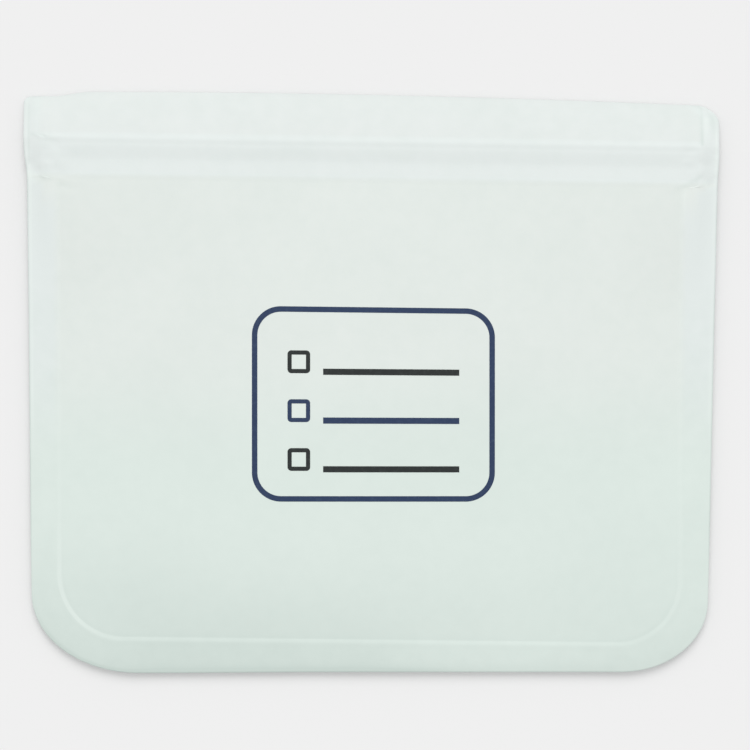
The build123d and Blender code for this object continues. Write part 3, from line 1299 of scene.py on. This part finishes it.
@dataclass
class Welds:
    """The U-shaped weld round the pouch and the two side seals over the zip's ends."""

    maker: SheetMaker
    palette: Palette
    band_stops: Stops = ((0.0, 0), (0.14, 12), (0.84, 12), (1.0, 14))
    seal_stops: Stops = ((0.0, 0), (0.12, 5), (0.8, 18), (1.0, 12))
    arm_steps: int = 60
    bottom_steps: int = 60
    corner_steps: int = 18
    over_zip: float = 3.5
    zip_steps: int = 40
    lip_steps: int = 14
    top_steps: int = 8
    least_width: float = 0.05

    def __post_init__(self) -> None:
        """Takes the plan and the skin from the sheet maker."""
        self.plan, self.skin = self.maker.plan, self.maker.skin

    def fix(self, weld: bpy.types.Object, node: str) -> None:
        """Fixes a weld to the back film.

        Args:
            weld: the piece.
            node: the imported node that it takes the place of.
        """
        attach(weld, "back")
        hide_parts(node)

    def round_the_pouch(self) -> None:
        """Builds the weld down both sides and along the bottom, with the bead on its inner border."""
        plan = self.plan
        columns = steps(
            (0.0, 0),
            (plan.arm_share, self.arm_steps),
            (plan.corner_share, self.corner_steps),
            (1 - plan.corner_share, self.bottom_steps),
            (1 - plan.arm_share, self.corner_steps),
            (1.0, self.arm_steps),
        )

        def where(share: float, across: float) -> tuple[float, float]:
            """Place between the weld's two outlines."""
            return tuple(plan.rim_place(share, True).lerp(plan.rim_place(share, False), across))

        mesh = self.maker.make(columns, steps(*self.band_stops), where, self.skin.welded, self.skin.back)
        self.fix(make_piece("perimeter_weld", mesh, self.palette.weld), "perimeter_weld")

    def side_seal(self, side: Side) -> None:
        """Builds a side seal, which melts the zip's end flat and joins the two lips beside it.

        Args:
            side: the side of the bag.
        """
        plan = self.plan
        radius = plan.flanks[side].top_radius
        turns = [step / self.top_steps * math.pi / 2 for step in range(1, self.top_steps + 1)]
        rows = steps(
            (plan.seal_bottom, 0),
            (plan.zip_top + self.over_zip, self.zip_steps),
            (plan.top - radius, self.lip_steps),
        )
        rows += [plan.top - radius + radius * math.sin(turn) for turn in turns]

        def where(column: float, y: float) -> tuple[float, float]:
            """Place between the film's edge and the cut edge.

            Args:
                column: 0 at the film's edge and 1 at the cut edge.
                y: place towards the mouth.

            Returns:
                X and Y.
            """
            outer = plan.outer_edge(side, y)
            inner = min(plan.inner_edge(side, y), outer - self.least_width)
            return side.value * lerp(inner, outer, column), y

        name = f"{side.word}_side_seal"
        mesh = self.maker.make(steps(*self.seal_stops), rows, where, self.skin.welded, self.skin.back)
        self.fix(make_piece(name, mesh, self.palette.weld), name)

    def build(self) -> None:
        """Builds the welds."""
        self.round_the_pouch()
        for side in Side:
            self.side_seal(side)


# Zip


@dataclass
class Zip:
    """The press-to-close zip: two hooked channels on the back film and two arrow-headed ribs on the front."""

    plan: Plan
    palette: Palette
    track_count: int = 2
    track_inset: float = 1.9
    track_pitch: float = 6.7
    floor: float = 0.4
    channel_height: float = 1.5
    channel_wall: float = 0.5
    hook: float = 0.45
    hook_slope: float = 0.1
    side_room: float = 0.3
    head_width: float = 1.3
    head_height: float = 0.7
    head_edge: float = 0.15
    stem_width: float = 0.7
    tip_width: float = 0.5
    tape: float = 0.35
    tape_inset: float = 0.3
    tape_sink: float = 0.06
    spans: int = 40

    def __post_init__(self) -> None:
        """Reads the strips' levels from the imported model."""
        self.groove_low = node_box("zip_groove_strip")[0].z
        self.rib_low, self.rib_high = (corner.z for corner in node_box("zip_rib_strip"))
        upper = self.plan.zip_top - self.track_inset
        self.tracks = [upper - self.track_pitch * number for number in range(self.track_count)]

    def groove_profile(self) -> Outline:
        """Section of the groove strip.

        Returns:
            Y and Z of its points, from its top border down over both channels.
        """
        low, floor = self.groove_low, self.groove_low + self.floor
        top = floor + self.channel_height
        inner = self.head_width / 2 + self.side_room
        outer, tip = inner + self.channel_wall, inner - self.hook
        under_hook = top - self.hook - self.hook_slope
        points = [(self.plan.zip_top, low), (self.plan.zip_top, floor)]
        for track in self.tracks:
            half = [(outer, floor), (outer, top), (tip, top), (tip, top - self.hook)]
            half += [(inner, under_hook), (inner, floor)]
            for way in (1, -1):
                points += [(track + way * off, level) for off, level in half[::way]]
        return points + [(self.plan.zip_bottom, floor), (self.plan.zip_bottom, low)]

    def rib_profile(self) -> Outline:
        """Section of the rib strip.

        Returns:
            Y and Z of its points, from its top border down over both ribs.
        """
        high = self.rib_high - self.tape_sink
        root = high - self.tape
        points = [(self.plan.zip_top - self.tape_inset, high), (self.plan.zip_top - self.tape_inset, root)]
        neck = self.rib_low + self.head_height
        for track in self.tracks:
            for way in (1, -1):
                half = [(self.stem_width / 2, root), (self.stem_width / 2, neck), (self.head_width / 2, neck)]
                half += [(self.head_width / 2, neck - self.head_edge), (self.tip_width / 2, self.rib_low)]
                points += [(track + way * off, level) for off, level in half[::way]]
        low_border = self.plan.zip_bottom + self.tape_inset
        return points + [(low_border, root), (low_border, high)]

    def strip(self, name: str, profile: Outline, start: float, end: float) -> bpy.types.Object:
        """Extrudes a profile along the mouth, laid as the films are.

        Args:
            name: name of the piece.
            profile: its section.
            start: where it starts along the mouth.
            end: where it ends.

        Returns:
            The piece.
        """
        mesh = bmesh.new()
        section = [mesh.verts.new((start, y, z)) for y, z in profile]
        mesh.faces.new(section)
        border = mesh.edges[:]
        for _ in range(self.spans):
            raised = bmesh.ops.extrude_edge_only(mesh, edges=border)["geom"]
            verts = {item for item in raised if isinstance(item, bmesh.types.BMVert)}
            edges = [item for item in raised if isinstance(item, bmesh.types.BMEdge)]
            border = [edge for edge in edges if verts.issuperset(edge.verts)]
            bmesh.ops.translate(mesh, verts=list(verts), vec=((end - start) / self.spans, 0.0, 0.0))
        bmesh.ops.contextual_create(mesh, geom=border)
        for vert in mesh.verts:
            vert.co = self.plan.laid(*vert.co)
        bmesh.ops.recalc_face_normals(mesh, faces=mesh.faces[:])
        return make_piece(name, mesh, self.palette.strip, crease=25.0)

    def build(self) -> None:
        """Builds the groove strip, and the rib strip in two halves split in the middle like the front film."""
        end = self.plan.zip_end
        groove = self.strip("zip_groove_strip", self.groove_profile(), -end, end)
        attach(groove, "back")
        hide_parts("zip_groove_strip")
        for side in Side:
            outer = side.value * (end - self.tape_inset)
            rib = self.strip(f"zip_rib_strip_{side.word}", self.rib_profile(), 0.0, outer)
            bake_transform(rib)
            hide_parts("zip_rib_strip")


# Print


@dataclass
class WriteOnPanel:
    """A printed panel to write on: a frame with rounded corners, ruled lines and tick boxes."""

    maker: SheetMaker
    palette: Palette
    centre_x: float = 0.6
    centre_y: float = -6.8
    width: float = 75.0
    height: float = 60.0
    corner: float = 9.0
    stroke: float = 1.7
    straight_share: float = 0.25
    ring_steps: int = 160
    stroke_steps: int = 3
    margin: float = 11.0
    first_row: float = 13.0
    row_pitch: float = 15.0
    line: float = 1.9
    line_indent: float = 11.0
    line_drop: float = 3.0
    line_step: float = 1.2
    line_rows: int = 2
    box_size: float = 7.0
    box_corner: float = 1.2
    box_stroke: float = 1.3
    ink: float = 0.03

    def printed(
        self,
        name: str,
        columns: Sequence[float],
        rows: Sequence[float],
        where: Place,
        ink: bpy.types.Material,
    ) -> None:
        """Prints a stretch of ink on the front film.

        Args:
            name: name of the piece.
            columns: values across its grid.
            rows: values along it.
            where: place on the plan for a column and a row.
            ink: its finish.
        """
        front = self.maker.skin.front
        mesh = self.maker.make(
            columns, rows, where, lambda x, y: front(x, y) + self.ink, lambda x, y: front(x, y) - self.ink
        )
        made = make_piece(name, mesh, ink)
        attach(made, "front")

    def outline(self, share: float, inset: float, box: Sequence[float]) -> tuple[float, float]:
        """A place on a rounded rectangle.

        Args:
            share: how far round it, from 0 to 1.
            inset: distance inside its outline.
            box: its middle's X and Y, its width and height, and its corner radius.

        Returns:
            X and Y.
        """
        middle_x, middle_y, width, height, radius = box
        straight_x, straight_y = width / 2 - radius, height / 2 - radius
        quarter, within = divmod(share * 4 % 4, 1.0)
        turned = max(0.0, (within - self.straight_share) / (1.0 - self.straight_share))
        turn = (quarter + turned) * math.pi / 2
        corners = ((1, -1), (1, 1), (-1, 1), (-1, -1), (1, -1))
        start, end = corners[int(quarter)], corners[int(quarter) + 1]
        along = clamped(within / self.straight_share)
        x = middle_x + lerp(start[0], end[0], along) * straight_x + (radius - inset) * math.cos(turn)
        y = middle_y + lerp(start[1], end[1], along) * straight_y + (radius - inset) * math.sin(turn)
        return x, y

    def ring(self, name: str, box: Sequence[float], stroke: float, ink: bpy.types.Material) -> None:
        """Prints a rounded rectangle's outline.

        Args:
            name: name of the piece.
            box: its middle's X and Y, its width and height, and its corner radius.
            stroke: width of the line.
            ink: its finish.
        """

        def where(share: float, across: float) -> tuple[float, float]:
            """Place across the line's stroke."""
            return self.outline(share, stroke * across, box)

        columns, rows = steps((0.0, 0), (1.0, self.ring_steps)), steps((0.0, 0), (1.0, self.stroke_steps))
        self.printed(name, columns, rows, where, ink)

    def bar(self, name: str, x_low: float, x_high: float, y: float, ink: bpy.types.Material) -> None:
        """Prints a straight line.

        Args:
            name: name of the piece.
            x_low: where it starts.
            x_high: where it ends.
            y: the height of its middle on the bag.
            ink: its finish.
        """
        columns = steps((x_low, 0), (x_high, max(2, round((x_high - x_low) / self.line_step))))
        rows = steps((y - self.line / 2, 0), (y + self.line / 2, self.line_rows))
        self.printed(name, columns, rows, lambda x, v: (x, v), ink)

    def build(self) -> None:
        """Prints the frame, three ruled lines and a tick box before each."""
        frame_box = (self.centre_x, self.centre_y, self.width, self.height, self.corner)
        self.ring("print_frame", frame_box, self.stroke, self.palette.navy)
        inks = (self.palette.charcoal, self.palette.navy, self.palette.charcoal)
        left = self.centre_x - self.width / 2 + self.margin
        right = self.centre_x + self.width / 2 - self.margin
        for number, ink in enumerate(inks):
            y = self.centre_y + self.first_row - self.row_pitch * number
            self.bar(f"print_line_{number + 1}", left + self.line_indent, right, y - self.line_drop, ink)
            box = (left + self.box_size / 2, y, self.box_size, self.box_size, self.box_corner)
            self.ring(f"print_box_{number + 1}", box, self.box_stroke, ink)


# Studio


@dataclass
class Studio:
    """Plain pale floor, soft light from beyond the mouth, and a camera straight above."""

    centre_x: float = 1.1
    centre_y: float = 2.3
    view_width: float = 233.1
    floor_half: float = 3.0
    camera_height: float = 900.0
    sensor: float = 36.0
    paper: Colour = srgb(240, 240, 240)
    paper_glow: float = 0.2
    sky: float = 0.71
    sun_share: float = 0.29
    sun_height: float = math.radians(45.0)
    sun_spread: float = math.radians(42.0)

    def floor(self) -> None:
        """Lays the floor."""
        mesh = bmesh.new()
        bmesh.ops.create_grid(mesh, x_segments=1, y_segments=1, size=self.floor_half)
        material = bpy.data.materials.new("floor_paper")
        material.use_nodes = True
        shader = material.node_tree.nodes["Principled BSDF"]
        shader.inputs["Base Color"].default_value = self.paper
        shader.inputs["Roughness"].default_value = 0.9
        shader.inputs["Specular IOR Level"].default_value = 0.0
        nodes = Nodes(material.node_tree)
        seen = nodes.add("ShaderNodeLightPath").outputs["Is Camera Ray"]
        share = nodes.math("MULTIPLY", seen, self.paper_glow)
        glow = nodes.add("ShaderNodeEmission", {"Color": self.paper}).outputs[0]
        mixed = nodes.add("ShaderNodeMixShader", {0: share, 1: shader.outputs[0], 2: glow}).outputs[0]
        material.node_tree.links.new(mixed, material.node_tree.nodes["Material Output"].inputs["Surface"])
        make_piece("floor", mesh, material)

    def light(self) -> None:
        """Sets the sky and a broad soft sun."""
        world = bpy.data.worlds.new("sky")
        bpy.context.scene.world = world
        world.use_nodes = True
        world.node_tree.nodes["Background"].inputs["Color"].default_value = (1.0, 1.0, 1.0, 1.0)
        world.node_tree.nodes["Background"].inputs["Strength"].default_value = self.sky
        lamp = bpy.data.lights.new("window", "SUN")
        lamp.energy = self.sun_share * math.pi / math.sin(self.sun_height)
        lamp.angle = self.sun_spread
        sun = bpy.data.objects.new("window", lamp)
        sun.rotation_euler = (self.sun_height - math.pi / 2, 0.0, 0.0)
        bpy.context.collection.objects.link(sun)

    def camera(self) -> None:
        """Hangs the camera above the bag, looking straight down."""
        data = bpy.data.cameras.new("camera")
        data.sensor_width = self.sensor
        data.lens = self.sensor * self.camera_height / self.view_width
        data.clip_start = 0.01
        camera = bpy.data.objects.new("camera", data)
        camera.location = Vector((self.centre_x, self.centre_y, self.camera_height)) * MM
        bpy.context.collection.objects.link(camera)
        bpy.context.scene.camera = camera

    def build(self) -> None:
        """Builds the studio and sets the plain view transform."""
        self.floor()
        self.light()
        self.camera()
        bpy.context.scene.view_settings.view_transform = "Standard"


def main() -> None:
    """Builds the bag and its studio."""
    logging.basicConfig(level=logging.INFO, format="%(name)s: %(message)s")
    plan = Plan()
    skin = Skin(plan)
    maker = SheetMaker(plan, skin, Tint(skin))
    palette = Palette()
    Films(maker, palette).build()
    Welds(maker, palette).build()
    Zip(plan, palette).build()
    WriteOnPanel(maker, palette).build()
    Studio().build()


if __name__ == "__main__":
    main()
